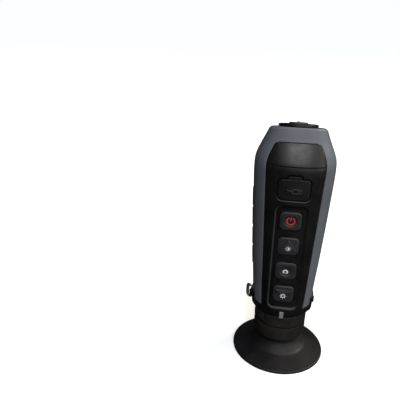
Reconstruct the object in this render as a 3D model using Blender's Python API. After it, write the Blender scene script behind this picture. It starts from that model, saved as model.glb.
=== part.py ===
"""Handheld thermal monocular standing on its eyecup, as an assembly of separate pieces.

Metres, +Z up along the optical axis, origin at the centre of the eyecup's rim, key panel facing -Y.
The dimensions below are in millimetres, and MM turns them into metres where a mesh is made.
"""

import math

import bmesh
import bpy
from mathutils import Matrix, Vector

MM = 0.001
GAP = 0.3  # clearance between neighbouring pieces

# Body section by height: (z, half width, front depth, back depth, squareness of the oval)
BODY = (
    (38.0, 20.9, 19.5, 20.0, 2.0),
    (52.0, 21.4, 20.24, 21.6, 2.15),
    (80.0, 23.4, 21.72, 24.5, 2.25),
    (111.0, 25.1, 23.37, 26.2, 2.3),
    (139.0, 26.4, 24.85, 26.6, 2.3),
    (147.5, 26.2, 25.3, 26.2, 2.35),
    (152.0, 24.8, 23.3, 24.6, 2.5),
    (161.0, 21.1, 18.9, 20.6, 2.9),
    (170.2, 17.7, 16.4, 16.8, 3.4),
)
# Half width of the black front and back mouldings, where they meet the grey frame
PANEL_EDGE = ((38.0, 14.0), (56.0, 15.0), (88.0, 16.1), (117.0, 17.3), (147.5, 18.5), (152.0, 17.6), (161.0, 13.6),
              (170.2, 11.5))
WALL = 2.0
BAND_BOTTOM = 43.2  # the grey side bands stop here, and the front moulding closes the ring below
PANEL_TOP = 161.0
FACE_Z = 170.2  # front edge of the sloping end face
FACE_TILT = math.radians(9.0)
FACE_FRONT_Y = -16.0
RAKE_FROM_Z = 147.5
MOUTH_R = 13.8

SHELL_ROWS = (38.0, BAND_BOTTOM, BAND_BOTTOM + GAP, 52.0, 80.0, 111.0, 139.0, 147.5, 152.0, PANEL_TOP,
              PANEL_TOP + GAP, 165.0)
FRONT_STEPS = 5
BAND_STEPS = 7
BACK_STEPS = 4

TRAY_HALF_W, TRAY_BOTTOM, TRAY_TOP, TRAY_DEPTH = 9.5, 45.0, 121.0, 0.9
KEY_HALF_W, KEY_HALF_H, KEY_CORNER = 7.0, 6.4, 3.2
KEY_PROUD = -0.1  # of the body surface, so 0.8 above the tray's floor
KEY_FLANGE, KEY_FLANGE_FRONT, KEY_FLANGE_BACK, KEY_PIN_BACK = 0.9, -2.5, -3.0, -4.2
SWITCH_HALF, SWITCH_FRONT, SWITCH_THICKNESS = 3.0, 4.9, 1.5
KEY_ROWS = (("down", 56.5), ("capture", 74.7), ("up", 93.4), ("power", 111.5))
BOARD_OFFSET = 6.8
PANEL_SLOPE = math.atan2(25.3 - 19.5, 147.5 - 38.0)

DOOR_HALF_W, DOOR_HALF_H, DOOR_Z, DOOR_CORNER = 10.0, 6.9, 132.8, 3.0
TAB_HALF_W, TAB_HALF_H, TAB_TOP = 5.0, 2.2, 141.6
NOTCH_HALF_W, NOTCH_HALF_H, NOTCH_DEPTH = 5.6, 3.0, 1.35
NOTCH_TOP = TAB_TOP + 1.2

INDEX_HALF_W, INDEX_HALF_H, INDEX_Z = 1.4, 2.65, 39.5

GRIP_FIRST, GRIP_LAST, GRIP_BOTTOM, GRIP_TOP = math.radians(93.0), math.radians(133.0), 66.5, 125.5
SCREW_X, SCREW_ROWS = 11.0, (49.0, 138.0)

LUG_ANGLE = math.radians(104.0)
LUG_FIRST, LUG_LAST, LUG_BOTTOM, LUG_TOP = math.radians(66.0), math.radians(124.0), 38.4, 49.4
LOOP_Z = 40.6
LOOP_RADIAL = 22.45
LOOP_REACH = 4.4
LOOP_HALF_H = 4.6
LOOP_WIRE_R = 0.6
LEFT_LOOP_HEADING = math.radians(140.0)  # swung out to the side
RIGHT_LOOP_HEADING = math.radians(90.0)  # folded to the back

SHUTTER_PIVOT = (14.5, 12.5)
SHUTTER_OPEN = math.radians(45.0)


# ---- materials ----

def material(name, colour, roughness, metallic=0.0):
    made = bpy.data.materials.new(name)
    made.use_nodes = True
    shader = made.node_tree.nodes["Principled BSDF"]
    shader.inputs["Base Color"].default_value = (*colour, 1.0)
    shader.inputs["Roughness"].default_value = roughness
    shader.inputs["Metallic"].default_value = metallic
    return made


def make_materials():
    return {
        "black": material("black_plastic", (0.022, 0.022, 0.024), 0.5),
        "grey": material("grey_plastic", (0.22, 0.24, 0.26), 0.55),
        "rubber": material("black_rubber", (0.03, 0.03, 0.032), 0.75),
        "key": material("key_rubber", (0.045, 0.045, 0.05), 0.6),
        "mark": material("index_grey", (0.45, 0.45, 0.45), 0.6),
        "steel": material("steel", (0.5, 0.5, 0.52), 0.3, 1.0),
        "alloy": material("alloy", (0.35, 0.36, 0.38), 0.4, 1.0),
        "glass": material("lens_glass", (0.75, 0.8, 0.85), 0.05),
        "germanium": material("germanium", (0.25, 0.22, 0.25), 0.12, 0.8),
        "board": material("circuit_board", (0.02, 0.12, 0.05), 0.5),
        "film": material("flex_film", (0.45, 0.25, 0.06), 0.4),
        "cell": material("cell_wrap", (0.08, 0.12, 0.25), 0.5),
    }


# ---- shape of the body ----

def between(table, z):
    """The table's values at this height, joined by straight lines."""
    if z <= table[0][0]:
        return table[0][1:]
    for low, high in zip(table, table[1:]):
        if z <= high[0]:
            part = (z - low[0]) / (high[0] - low[0])
            return tuple(a + (b - a) * part for a, b in zip(low[1:], high[1:]))
    return table[-1][1:]


def depth_at(x, z, back=False):
    """How far the body's surface stands from the axis plane at this x and height."""
    width, front, rear, power = between(BODY, z)
    depth = rear if back else front
    return depth * (1.0 - min(1.0, abs(x) / width) ** power) ** (1.0 / power)


def radius_at(angle, z, inset=0.0):
    """Radius of the oval section; angle 0 looks to the front, and pi to the back."""
    width, front, rear, power = between(BODY, z)
    depth = front if math.cos(angle) > 0 else rear
    across = abs(math.sin(angle)) / (width - inset)
    along = abs(math.cos(angle)) / (depth - inset)
    return (across ** power + along ** power) ** (-1.0 / power)


def polar(angle, radius, z):
    return Vector((math.sin(angle) * radius, -math.cos(angle) * radius, z))


def spread(first, last, steps):
    return [first + (last - first) * k / steps for k in range(steps + 1)]


def column_angles(z):
    """Angles round the body, with a narrow column at each seam between the panels and the frame."""
    edge = between(PANEL_EDGE, z)[0]
    front = math.atan2(edge, depth_at(edge, z))
    front_far = math.atan2(edge + GAP, depth_at(edge + GAP, z))
    back = math.pi - math.atan2(edge, depth_at(edge, z, back=True))
    back_far = math.pi - math.atan2(edge + GAP, depth_at(edge + GAP, z, back=True))
    half = spread(0.0, front, FRONT_STEPS) + spread(front_far, back_far, BAND_STEPS)
    half += spread(back, math.pi, BACK_STEPS)
    return half + [2.0 * math.pi - angle for angle in reversed(half[1:-1])]


def rake(point, weight):
    """Lowers a point towards the back, so that the end face slopes."""
    return Vector((point.x, point.y, point.z - math.tan(FACE_TILT) * (point.y - FACE_FRONT_Y) * weight))


def shell_ring(z, inset, drop=0.0, radius=None):
    weight = min(1.0, max(0.0, (z - RAKE_FROM_Z) / (FACE_Z - RAKE_FROM_Z)))
    angles = column_angles(z)
    return [rake(polar(a, radius or radius_at(a, z, inset), z - drop), weight) for a in angles]


def shell_grids():
    outer = [shell_ring(z, 0.0) for z in SHELL_ROWS]
    inner = [shell_ring(z, WALL) for z in SHELL_ROWS]
    outer += [shell_ring(FACE_Z - 1.3, 0.0), shell_ring(FACE_Z, 1.1), shell_ring(FACE_Z, 0.0, 0.0, MOUTH_R)]
    inner += [shell_ring(FACE_Z - 1.3, WALL, 2.0), shell_ring(FACE_Z, WALL + 0.4, 2.2)]
    inner += [shell_ring(FACE_Z, 0.0, 2.2, MOUTH_R)]
    return outer, inner


# ---- making meshes ----

def add_object(name, mesh, finish, smooth=35.0):
    bmesh.ops.recalc_face_normals(mesh, faces=mesh.faces)
    data = bpy.data.meshes.new(name)
    mesh.to_mesh(data)
    mesh.free()
    data.shade_smooth()
    data.set_sharp_from_angle(angle=math.radians(smooth))
    made = bpy.data.objects.new(name, data)
    if finish is None:
        made.hide_render = True
        made.display_type = "WIRE"
    else:
        data.materials.append(finish)
    bpy.context.scene.collection.objects.link(made)
    return made


def grid_solid(name, outer, inner, present, finish, wrap=True):
    """Closed solid between two grids of points, made of the cells for which present(row, column) is true."""
    mesh = bmesh.new()
    rows, columns = len(outer), len(outer[0])
    corners = {}

    def corner(layer, row, column):
        key = (layer, row, column % columns if wrap else column)
        if key not in corners:
            corners[key] = mesh.verts.new((outer, inner)[layer][key[1]][key[2]] * MM)
        return corners[key]

    def filled(row, column):
        inside = 0 <= row < rows - 1 and (wrap or 0 <= column < columns - 1)
        return inside and present(row, column % columns if wrap else column)

    for row in range(rows - 1):
        for column in range(columns if wrap else columns - 1):
            if not filled(row, column):
                continue
            loop = [(row, column), (row, column + 1), (row + 1, column + 1), (row + 1, column)]
            beside = [(row - 1, column), (row, column + 1), (row + 1, column), (row, column - 1)]
            for layer in (0, 1):
                mesh.faces.new([corner(layer, *place) for place in loop])
            for side, place in enumerate(beside):
                if filled(*place):
                    continue
                first, second = loop[side], loop[(side + 1) % 4]
                mesh.faces.new([corner(0, *first), corner(0, *second), corner(1, *second), corner(1, *first)])
    return add_object(name, mesh, finish)


def patch(name, angles, heights, outer_offset, inner_offset, finish):
    """A plate that follows the body between two angles and two heights, offset from its surface."""
    grids = [[[polar(a, radius_at(a, z) + offset, z) for a in angles] for z in heights]
             for offset in (outer_offset, inner_offset)]
    return grid_solid(name, grids[0], grids[1], lambda row, column: True, finish, wrap=False)


def turned(name, profile, finish, segments=32, at=(0.0, 0.0, 0.0)):
    """Solid of revolution about Z. A profile that starts off the axis is closed on itself."""
    mesh = bmesh.new()
    points = [mesh.verts.new((r * MM, 0.0, z * MM)) for r, z in profile]
    pairs = list(zip(points, points[1:]))
    if profile[0][0] > 0.0:
        pairs.append((points[-1], points[0]))
    lines = [mesh.edges.new(pair) for pair in pairs]
    bmesh.ops.spin(mesh, geom=points + lines, cent=(0, 0, 0), axis=(0, 0, 1), angle=2 * math.pi,
                   steps=segments, use_merge=True)
    bmesh.ops.remove_doubles(mesh, verts=mesh.verts, dist=1e-7)
    made = add_object(name, mesh, finish)
    made.location = Vector(at) * MM
    return made


def tube(name, inner_r, outer_r, bottom, top, finish, segments=24, at=(0.0, 0.0, 0.0)):
    profile = [(inner_r, top), (outer_r, top), (outer_r, bottom), (inner_r, bottom)]
    return turned(name, profile, finish, segments, at)


def rod(name, radius, bottom, top, finish, segments=16, at=(0.0, 0.0, 0.0)):
    return turned(name, [(0, top), (radius, top), (radius, bottom), (0, bottom)], finish, segments, at)


def box(name, low, high, finish):
    mesh = bmesh.new()
    low, high = Vector(low), Vector(high)
    size = Matrix.Diagonal((*((high - low) * MM), 1.0))
    bmesh.ops.create_cube(mesh, size=1.0, matrix=Matrix.Translation((low + high) * 0.5 * MM) @ size)
    return add_object(name, mesh, finish)


def prism(name, outline, bottom, top, finish):
    """An outline in X and Y, extruded between two heights."""
    mesh = bmesh.new()
    face = mesh.faces.new([mesh.verts.new((x * MM, y * MM, bottom * MM)) for x, y in outline])
    grown = bmesh.ops.extrude_face_region(mesh, geom=[face])["geom"]
    raised = [item for item in grown if isinstance(item, bmesh.types.BMVert)]
    bmesh.ops.translate(mesh, verts=raised, vec=(0.0, 0.0, (top - bottom) * MM))
    return add_object(name, mesh, finish)


def rounded_rectangle(half_w, half_h, corner, steps=4):
    corner = min(corner, half_w - 0.01, half_h - 0.01)
    points = []
    for quarter, (sx, sy) in enumerate(((1, 1), (-1, 1), (-1, -1), (1, -1))):
        for k in range(steps + 1):
            angle = math.pi / 2 * (quarter + k / steps)
            x = sx * (half_w - corner) + corner * math.cos(angle)
            points.append((x, sy * (half_h - corner) + corner * math.sin(angle)))
    return points


def layered(name, centre_z, layers, finish, centre_x=0.0):
    """Rounded rectangles stacked inwards from the front surface and joined into one solid.

    Each layer is (half width, half height, corner radius, height above the body's surface).
    """
    mesh = bmesh.new()
    rings = []
    for half_w, half_h, corner, above in layers:
        ring = []
        for x, z in rounded_rectangle(half_w, half_h, corner):
            place = (centre_x + x, centre_z + z)
            ring.append(mesh.verts.new(Vector((place[0], -depth_at(*place) - above, place[1])) * MM))
        rings.append(ring)
    for first, second in zip(rings, rings[1:]):
        for k in range(len(first)):
            after = (k + 1) % len(first)
            mesh.faces.new([first[k], first[after], second[after], second[k]])
    mesh.faces.new(rings[0])
    mesh.faces.new(rings[-1])
    return add_object(name, mesh, finish)


def crowned(half_w, half_h, corner, above, below):
    """Layers of a plate whose front and back both follow the body's crown."""
    shares = (0.72, 0.4, 0.0) if half_w > 6.0 else (0.4, 0.0)
    small = min(half_w, half_h)
    front = [(half_w - i * small, half_h - i * small, corner * (1 - i), above) for i in shares]
    return front + [(w, h, r, below) for w, h, r, _ in reversed(front)]


def combine(target, other, operation):
    change = target.modifiers.new(f"{operation.lower()}_{other.name}", "BOOLEAN")
    change.operation = operation
    change.object = other
    return target


def cut(target, *cutters):
    for cutter in cutters:
        combine(target, cutter, "DIFFERENCE")
    return target


def join(target, *others):
    for other in others:
        combine(target, other, "UNION")
    return target


# ---- casing ----

def is_front(column, columns):
    return column < FRONT_STEPS or column >= columns - FRONT_STEPS


def is_back(column):
    start = FRONT_STEPS + BAND_STEPS + 2
    return start <= column < start + 2 * BACK_STEPS


def is_band(column, columns):
    mirrored = columns - 1 - column
    return FRONT_STEPS < min(column, mirrored) <= FRONT_STEPS + BAND_STEPS


def make_casing(finish):
    outer, inner = shell_grids()
    columns = len(outer[0])
    top_row = SHELL_ROWS.index(PANEL_TOP)

    def front_cell(row, column):
        return row < 1 or (row < top_row and is_front(column, columns))

    def frame_cell(row, column):
        return row > top_row or (1 < row and is_band(column, columns))

    def back_cell(row, column):
        return 1 < row < top_row and is_back(column)

    front = grid_solid("front_panel", outer, inner, front_cell, finish["black"])
    frame = grid_solid("side_frame", outer, inner, frame_cell, finish["grey"])
    back = grid_solid("back_shell", outer, inner, back_cell, finish["black"])
    cut_front_openings(front)
    make_grips(frame, finish)
    make_screws(back, finish)


def cut_front_openings(front):
    tray_z = (TRAY_TOP + TRAY_BOTTOM) / 2
    tray_half_h = (TRAY_TOP - TRAY_BOTTOM) / 2
    cut(front, layered("cut_tray", tray_z, crowned(TRAY_HALF_W, tray_half_h, 3.0, 4.0, -TRAY_DEPTH), None))
    for label, z in KEY_ROWS:
        hole = [(KEY_HALF_W + GAP, KEY_HALF_H + GAP, KEY_CORNER + GAP, above) for above in (5.0, -6.0)]
        cut(front, layered(f"cut_key_{label}", z, hole, None))
    door = [(DOOR_HALF_W + GAP, DOOR_HALF_H + GAP, DOOR_CORNER + GAP, above) for above in (5.0, -6.0)]
    notch = crowned(NOTCH_HALF_W, NOTCH_HALF_H, 1.5, 4.5, -NOTCH_DEPTH)
    cut(front, layered("cut_door", DOOR_Z, door, None))
    cut(front, layered("cut_tab_notch", NOTCH_TOP - NOTCH_HALF_H, notch, None))


def make_grips(frame, finish):
    """Rubber grip pads let into the sides of the frame, behind its widest line."""
    spare = math.radians(0.8)
    for side, sign in (("left", -1), ("right", 1)):
        angles = [sign * a for a in spread(GRIP_FIRST, GRIP_LAST, 5)]
        wider = [sign * a for a in spread(GRIP_FIRST - spare, GRIP_LAST + spare, 5)]
        patch(f"side_grip_{side}", angles, spread(GRIP_BOTTOM, GRIP_TOP, 6), 0.7, -0.8, finish["rubber"])
        tall = spread(GRIP_BOTTOM - GAP, GRIP_TOP + GAP, 6)
        cutter = patch(f"cut_grip_{side}", wider, tall, 4.0, -1.1, None)
        cut(frame, cutter)


def make_screws(back, finish):
    """Four screws that close the back, in counterbored holes."""
    places = [(x, z) for z in SCREW_ROWS for x in (-SCREW_X, SCREW_X)]
    facing_back = (-math.pi / 2, 0.0, 0.0)
    for number, (x, z) in enumerate(places, start=1):
        seat = (x, depth_at(x, z, back=True), z)
        screw = turned(f"housing_screw_{number}", [(0, -0.4), (2.1, -0.4), (2.1, -1.2), (1.0, -1.2), (1.0, -7.0),
                                                   (0, -7.0)], finish["steel"], 16, seat)
        hole = turned(f"cut_screw_{number}", [(0, 5.0), (2.5, 5.0), (2.5, -1.5), (1.3, -1.5), (1.3, -6.0),
                                              (0, -6.0)], None, 16, seat)
        screw.rotation_euler = facing_back
        hole.rotation_euler = facing_back
        cut(back, hole)


def make_index_mark(finish):
    layers = [(INDEX_HALF_W, INDEX_HALF_H, 0.3, above) for above in (0.85, GAP)]
    layered("index_mark", INDEX_Z, layers, finish["mark"])


# ---- keys and boards behind the panel ----

def make_keys(finish):
    for label, z in KEY_ROWS:
        w, h, r = KEY_HALF_W, KEY_HALF_H, KEY_CORNER
        layers = [(w - 4.5, h - 4.5, 1.2, KEY_PROUD), (w - 0.4, h - 0.4, r, KEY_PROUD), (w, h, r, KEY_PROUD - 0.4)]
        layers += [(w, h, r, KEY_FLANGE_FRONT)]
        layers += [(w + KEY_FLANGE, h + KEY_FLANGE, r, depth) for depth in (KEY_FLANGE_FRONT, KEY_FLANGE_BACK)]
        layers += [(1.5, 1.5, 1.4, depth) for depth in (KEY_FLANGE_BACK, KEY_PIN_BACK)]
        layered(f"key_{label}", z, layers, finish["key"])
        front = -depth_at(0.0, z) + SWITCH_FRONT
        low = (-SWITCH_HALF, front, z - SWITCH_HALF)
        high = (SWITCH_HALF, front + SWITCH_THICKNESS, z + SWITCH_HALF)
        box(f"key_switch_{label}", low, high, finish["alloy"])


def make_boards(finish):
    middle_z, half_h, thickness = 83.2, 36.8, 1.4
    board = box("key_board", (-13.0, 0.0, -half_h), (13.0, thickness, half_h), finish["board"])
    board.location = Vector((0.0, -depth_at(0.0, middle_z) + BOARD_OFFSET, middle_z)) * MM
    board.rotation_euler = (PANEL_SLOPE, 0.0, 0.0)
    box("main_board", (-17.0, -6.5, 68.0), (17.0, -5.1, 100.0), finish["board"])
    box("core_board", (-15.0, -12.0, 107.2), (15.0, 14.0, 108.6), finish["board"])
    box("port_board", (-12.0, -14.9, 131.0), (12.0, -13.7, 142.0), finish["board"])


# ---- port door and sockets ----

def make_port(finish):
    door_layers = crowned(DOOR_HALF_W, DOOR_HALF_H, DOOR_CORNER, 0.1, -1.4)
    door = layered("port_door", DOOR_Z, door_layers, finish["rubber"])
    tab_layers = crowned(TAB_HALF_W, TAB_HALF_H, 0.8, 0.04, -1.0)
    tab = layered("join_tab", TAB_TOP - TAB_HALF_H, tab_layers, None)
    join(door, tab)
    frame = layered("port_frame", DOOR_Z, crowned(11.6, 8.4, 3.0, -2.5, -3.6), finish["black"])
    windows = (("usb", -4.6, 3.7, 1.5), ("video", 4.8, 1.9, 1.9))
    for label, x, half_w, half_h in windows:
        low, high = (x - half_w, -26.0, DOOR_Z - half_h), (x + half_w, -15.8, DOOR_Z + half_h)
        cutter = box(f"cut_{label}", low, high, None)
        body = box(f"{label}_socket", (x - half_w - 0.8, -19.2, DOOR_Z - half_h - 0.8),
                   (x + half_w + 0.8, -15.2, DOOR_Z + half_h + 0.8), finish["steel"])
        cut(frame, cutter)
        cut(body, cutter)


# ---- objective end ----

def face_frame():
    """Empty on the sloping end face, whose Z is the face's normal."""
    holder = bpy.data.objects.new("end_face", None)
    holder.location = (0.0, 0.0, (FACE_Z + math.tan(FACE_TILT) * FACE_FRONT_Y) * MM)
    holder.rotation_euler = (-FACE_TILT, 0.0, 0.0)
    bpy.context.scene.collection.objects.link(holder)
    return holder


def make_cap_and_bezel(finish):
    face = face_frame()
    bezel = turned("lens_bezel", [(11.3, -0.1), (13.3, -0.1), (13.3, -2.6), (11.3, -2.6)], finish["black"], 32)
    cap = turned("lens_cap", [(0, 3.8), (1.3, 3.6), (1.5, 3.2), (5.5, 3.2), (5.9, 2.8), (5.9, 2.05), (12.3, 2.05),
                              (12.6, 1.7), (12.6, 0.25), (10.5, 0.25), (10.5, -2.6), (9.3, -2.6), (9.3, 0.6),
                              (0, 0.6)], finish["black"], 32)
    bezel.parent = face
    cap.parent = face


def make_objective(finish):
    barrel = [(11.2, 160.3), (12.6, 160.3), (12.6, 134.0), (9.8, 134.0), (9.8, 137.2), (11.2, 137.2)]
    turned("objective_barrel", barrel, finish["alloy"], 24)
    turned("objective_front_lens", [(0, 158.4), (6.0, 158.0), (10.9, 156.8), (10.9, 152.6), (6.0, 153.4),
                                    (0, 153.7)], finish["germanium"], 24)
    tube("objective_spacer", 9.8, 10.9, 142.4, 152.3, finish["alloy"], 24)
    turned("objective_rear_lens", [(0, 142.9), (6.0, 142.6), (9.4, 142.1), (10.9, 142.1), (10.9, 137.5),
                                   (6.0, 138.3), (0, 138.6)], finish["germanium"], 24)
    tube("objective_retaining_ring", 9.8, 10.9, 158.9, 160.1, finish["alloy"], 24)
    ring = [(13.5 + 0.6 * math.cos(a), 150.0 + 0.6 * math.sin(a)) for a in spread(0, 2 * math.pi, 6)[:-1]]
    turned("objective_o_ring", ring, finish["rubber"], 20)
    outline = [polar(a, radius_at(a, 144.0, WALL + 0.6), 0.0)[:2] for a in spread(0, 2 * math.pi, 32)[:-1]]
    mount = prism("objective_mount", outline, 143.3, 145.3, finish["alloy"])
    cut(mount, rod("cut_mount", 12.9, 140.0, 148.0, None, 32))


# ---- thermal core ----

def belt(first, first_r, second, second_r, steps=12):
    """Outline of a belt drawn tight round two circles."""
    reach = Vector(second) - Vector(first)
    heading = math.atan2(reach.y, reach.x)
    half = math.acos((first_r - second_r) / reach.length)
    outline = []
    for centre, radius, start, end in (
        (first, first_r, heading + half, heading + 2 * math.pi - half),
        (second, second_r, heading - half, heading + half),
    ):
        for angle in spread(start, end, steps):
            outline.append((centre[0] + radius * math.cos(angle), centre[1] + radius * math.sin(angle)))
    return outline


def make_core(finish):
    box("core_housing", (-16.0, -12.5, 110.0), (16.0, 15.0, 122.0), finish["alloy"])
    box("detector_package", (-10.0, -10.0, 122.3), (10.0, 10.0, 126.3), finish["cell"])
    pivot = Vector(SHUTTER_PIVOT)
    plate = prism("shutter_frame", belt((0.0, 0.0), 13.2, pivot, 3.2), 128.7, 130.2, finish["alloy"])
    at_pivot = (pivot.x, pivot.y, 0.0)
    join(plate, rod("join_shutter_pin", 0.9, 126.9, 129.5, None, 12, at_pivot))
    cut(plate, rod("cut_aperture", 6.5, 120.0, 140.0, None, 24))
    tube("shutter_solenoid", 1.6, 4.0, 122.4, 126.5, finish["steel"], 20, at_pivot)
    closed = math.atan2(-pivot.y, -pivot.x)
    arm = Vector((math.cos(closed + SHUTTER_OPEN), math.sin(closed + SHUTTER_OPEN))) * pivot.length
    blade = prism("shutter_blade", belt((0.0, 0.0), 2.4, arm, 7.2), 127.4, 128.2, finish["steel"])
    blade.location = Vector(at_pivot) * MM
    cut(blade, rod("cut_blade_hub", 1.25, 120.0, 140.0, None, 12, at_pivot))


# ---- battery and display ----

def make_power_and_display(finish):
    box("battery_cell", (-12.0, 9.0, 58.0), (12.0, 16.0, 104.0), finish["cell"])
    tray = box("battery_tray", (-12.6, 7.6, 56.4), (12.6, 12.0, 105.6), finish["black"])
    cut(tray, box("cut_battery_bay", (-14.0, 8.7, 57.7), (14.0, 14.0, 104.3), None))
    holder = box("display_holder", (-10.5, -7.2, 44.2), (10.5, 7.2, 61.7), finish["black"])
    cut(holder, box("cut_display_light", (-9.2, -5.9, 40.0), (9.2, 5.9, 66.0), None))
    box("display_module", (-9.6, -6.8, 62.0), (9.6, 6.8, 65.0), finish["alloy"])
    make_ribbon("display_flex", [(1.0, 65.3), (1.0, 70.0), (-0.4, 73.4), (-4.8, 75.6)], 4.0, 0.3, finish["film"])


def make_ribbon(name, path, half_w, thickness, finish):
    """A flat strip that follows a path in Y and Z."""
    turn = Matrix.Rotation(math.pi / 2, 2)
    points = [Vector(point) for point in path]
    grids = ([], [])
    for k, point in enumerate(points):
        along = (points[min(k + 1, len(points) - 1)] - points[max(k - 1, 0)]).normalized()
        away = turn @ along * thickness / 2
        for grid, side in zip(grids, (away, -away)):
            middle = point + side
            grid.append([Vector((x, middle.x, middle.y)) for x in (-half_w, half_w)])
    grid_solid(name, grids[0], grids[1], lambda row, column: True, finish, wrap=False)


# ---- eyepiece end ----

def make_eyepiece(finish):
    tube("eyepiece_barrel", 12.0, 13.6, 12.9, 43.6, finish["alloy"])
    tube("eyepiece_flange", 13.9, 17.0, 38.5, 41.0, finish["alloy"])
    cell = [(10.4, 36.0), (11.7, 36.0), (11.7, 18.0), (9.4, 18.0), (9.4, 19.0), (10.4, 19.0)]
    turned("eyepiece_lens_cell", cell, finish["black"], 24)
    turned("eyepiece_eye_lens", [(0, 24.6), (6.0, 24.1), (10.1, 22.6), (10.1, 19.4), (6.0, 19.4), (0, 19.4)],
           finish["glass"], 24)
    turned("eyepiece_field_lens", [(0, 33.6), (6.0, 33.1), (10.1, 31.6), (10.1, 29.6), (6.0, 28.5), (0, 28.1)],
           finish["glass"], 24)
    ring = [(18.1, 36.8), (18.6, 36.3), (18.6, 28.1), (18.2, 27.7), (14.2, 27.7), (14.2, 31.2), (15.3, 31.2),
            (15.3, 32.8), (14.2, 32.8), (14.2, 36.8)]
    turned("diopter_ring", ring, finish["black"], 32)
    seal = [(14.45 + 0.5 * math.cos(a), 32.0 + 0.5 * math.sin(a)) for a in spread(0, 2 * math.pi, 6)[:-1]]
    turned("eyepiece_o_ring", seal, finish["rubber"], 20)
    collar = [(15.6, 27.4), (18.2, 27.4), (18.5, 27.1), (18.5, 18.0), (18.1, 16.7), (17.1, 15.8), (16.2, 15.4),
              (15.6, 15.4)]
    turned("eyepiece_collar", collar, finish["black"], 32)


def make_eyecup(finish):
    outside = [(15.3, 26.8), (15.3, 15.0), (15.0, 12.6), (15.4, 11.0), (18.0, 7.3), (19.6, 5.6), (25.5, 3.95),
               (30.2, 2.7), (32.6, 1.8), (33.2, 1.0), (33.2, 0.0)]
    inside = [(31.0, 0.0), (30.4, 1.0), (25.5, 2.2), (20.5, 3.4), (16.4, 4.8), (13.6, 7.4), (12.4, 10.4),
              (12.2, 12.5), (13.9, 12.5), (13.9, 26.8)]
    turned("eyecup", outside + inside, finish["rubber"], 40)


# ---- strap attachment ----

def make_strap_parts(finish):
    for side, sign in (("left", -1), ("right", 1)):
        angle = sign * LUG_ANGLE
        angles = [sign * a for a in spread(LUG_FIRST, LUG_LAST, 7)]
        base = patch(f"strap_lug_{side}", angles, spread(LUG_BOTTOM, LUG_TOP, 3), 0.85, GAP, finish["black"])
        block = prism(f"join_lug_{side}", rounded_rectangle(1.3, 2.6, 1.1, steps=3), 38.2, 43.4, None)
        block.location = polar(angle, 22.6, 0.0) * MM
        block.rotation_euler = (0.0, 0.0, angle - math.pi / 2)
        leg = polar(angle, LOOP_RADIAL, 0.0)
        join(base, block)
        cut(base, rod(f"cut_lug_{side}", LOOP_WIRE_R + GAP, 30.0, 60.0, None, 12, leg))
        heading = LEFT_LOOP_HEADING if sign < 0 else RIGHT_LOOP_HEADING
        make_loop(f"strap_loop_{side}", leg, heading, finish["steel"])


def make_loop(name, leg, heading, finish):
    """A D-shaped wire loop that hangs on its straight leg and points along heading in the X-Y plane."""
    data = bpy.data.curves.new(name, "CURVE")
    data.dimensions = "3D"
    data.bevel_depth = LOOP_WIRE_R * MM
    data.bevel_resolution = 2
    outline = rounded_rectangle(LOOP_REACH / 2, LOOP_HALF_H, 1.9, steps=4)
    line = data.splines.new("POLY")
    line.use_cyclic_u = True
    line.points.add(len(outline) - 1)
    for point, (reach, z) in zip(line.points, outline):
        point.co = ((reach + LOOP_REACH / 2) * MM, 0.0, z * MM, 1.0)
    data.materials.append(finish)
    made = bpy.data.objects.new(name, data)
    made.location = (leg.x * MM, leg.y * MM, LOOP_Z * MM)
    made.rotation_euler = (0.0, 0.0, heading)
    bpy.context.scene.collection.objects.link(made)


def main():
    for old in list(bpy.data.objects):
        bpy.data.objects.remove(old)
    finish = make_materials()
    make_casing(finish)
    make_index_mark(finish)
    make_keys(finish)
    make_boards(finish)
    make_port(finish)
    make_cap_and_bezel(finish)
    make_objective(finish)
    make_core(finish)
    make_power_and_display(finish)
    make_eyepiece(finish)
    make_eyecup(finish)
    make_strap_parts(finish)


main()
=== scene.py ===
import math

import bmesh
import bpy
from mathutils import Matrix, Vector


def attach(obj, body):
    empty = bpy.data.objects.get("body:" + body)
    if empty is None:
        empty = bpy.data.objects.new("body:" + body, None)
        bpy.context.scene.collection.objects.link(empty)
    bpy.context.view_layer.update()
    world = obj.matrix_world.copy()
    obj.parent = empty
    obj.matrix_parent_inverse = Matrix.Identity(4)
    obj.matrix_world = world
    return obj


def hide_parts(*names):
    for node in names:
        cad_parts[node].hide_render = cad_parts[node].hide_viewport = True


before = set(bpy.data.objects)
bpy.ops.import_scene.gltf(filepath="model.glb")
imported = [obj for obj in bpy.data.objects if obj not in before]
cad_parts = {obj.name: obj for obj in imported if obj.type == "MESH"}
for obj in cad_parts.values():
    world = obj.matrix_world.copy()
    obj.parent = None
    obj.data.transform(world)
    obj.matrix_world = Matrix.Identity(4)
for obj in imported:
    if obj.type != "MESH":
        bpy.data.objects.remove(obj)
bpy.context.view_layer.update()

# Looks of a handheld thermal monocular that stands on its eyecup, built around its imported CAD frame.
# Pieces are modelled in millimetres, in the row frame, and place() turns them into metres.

MM = 0.001
GAP = 0.3  # clearance between neighbouring pieces

# Body section by height: (z, half width, front depth, back depth, squareness of the oval)
BODY = (
    (38.0, 20.9, 19.5, 20.0, 2.0),
    (52.0, 21.4, 20.24, 21.6, 2.15),
    (80.0, 23.4, 21.72, 24.5, 2.25),
    (111.0, 25.1, 23.37, 26.2, 2.3),
    (139.0, 26.4, 24.85, 26.6, 2.3),
    (143.0, 26.35, 25.25, 26.4, 2.33),
    (147.5, 26.2, 25.0, 26.2, 2.35),
    (152.0, 24.8, 23.3, 24.6, 2.5),
    (161.0, 21.1, 18.9, 20.6, 2.9),
    (170.2, 17.7, 16.4, 16.8, 3.4),
)
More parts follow.
